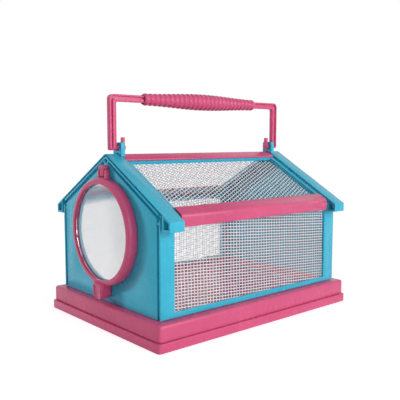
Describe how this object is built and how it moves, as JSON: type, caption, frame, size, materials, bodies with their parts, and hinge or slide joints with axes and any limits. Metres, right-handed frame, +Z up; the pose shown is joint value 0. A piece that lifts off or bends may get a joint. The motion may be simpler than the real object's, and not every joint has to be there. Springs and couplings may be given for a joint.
{
  "type": "insect observation box",
  "caption": "House-shaped toy box for watching insects, with net walls and roof, a stepped base, a folding carrying handle with a ribbed grip and a round magnifier window hinged on one gable.",
  "frame": {"origin": "under the middle of the base, on the surface it stands on", "axes": "+Z up, X along the roof's ridge with the window gable facing -X, Y across the gables"},
  "size_m": [0.1645, 0.123, 0.1426],
  "materials": {
    "turquoise_plastic": "gloss",
    "pink_plastic": "gloss",
    "white_net": "open knitted net",
    "clear_acrylic": "clear, polished"
  },
  "bodies": {
    "house": {"base_tray": "pink_plastic", "window_gable": "turquoise_plastic", "far_gable": "turquoise_plastic", "side_frame_front": "turquoise_plastic", "side_frame_rear": "turquoise_plastic", "side_net_front": "white_net", "side_net_rear": "white_net", "roof_frame_front": "turquoise_plastic", "roof_frame_rear": "turquoise_plastic", "roof_net_front": "white_net", "roof_net_rear": "white_net", "rake_trim_window_end": "turquoise_plastic", "rake_trim_far_end": "turquoise_plastic", "ridge_cap": "pink_plastic", "eave_cap_front": "pink_plastic", "eave_cap_rear": "pink_plastic", "handle_bracket_window_end": "turquoise_plastic", "handle_bracket_far_end": "turquoise_plastic", "hinge_tongue": "pink_plastic", "window_hinge_pin": "pink_plastic"},
    "handle": {"handle_frame": "pink_plastic", "handle_grip": "pink_plastic", "pivot_pin_window_end": "pink_plastic", "pivot_pin_far_end": "pink_plastic"},
    "window": {"window_ring": "pink_plastic", "magnifier_lens": "clear_acrylic"}
  },
  "joints": [
    {"name": "handle_hinge", "type": "hinge", "parent": "house", "child": "handle", "pos_m": [0, 0, 0.1078], "axis": [1, 0, 0], "range_deg": [-115, 115]},
    {"name": "window_hinge", "type": "hinge", "parent": "house", "child": "window", "pos_m": [-0.07675, 0, 0.094], "axis": [0, 1, 0], "range_deg": [0, 90]}
  ]
}
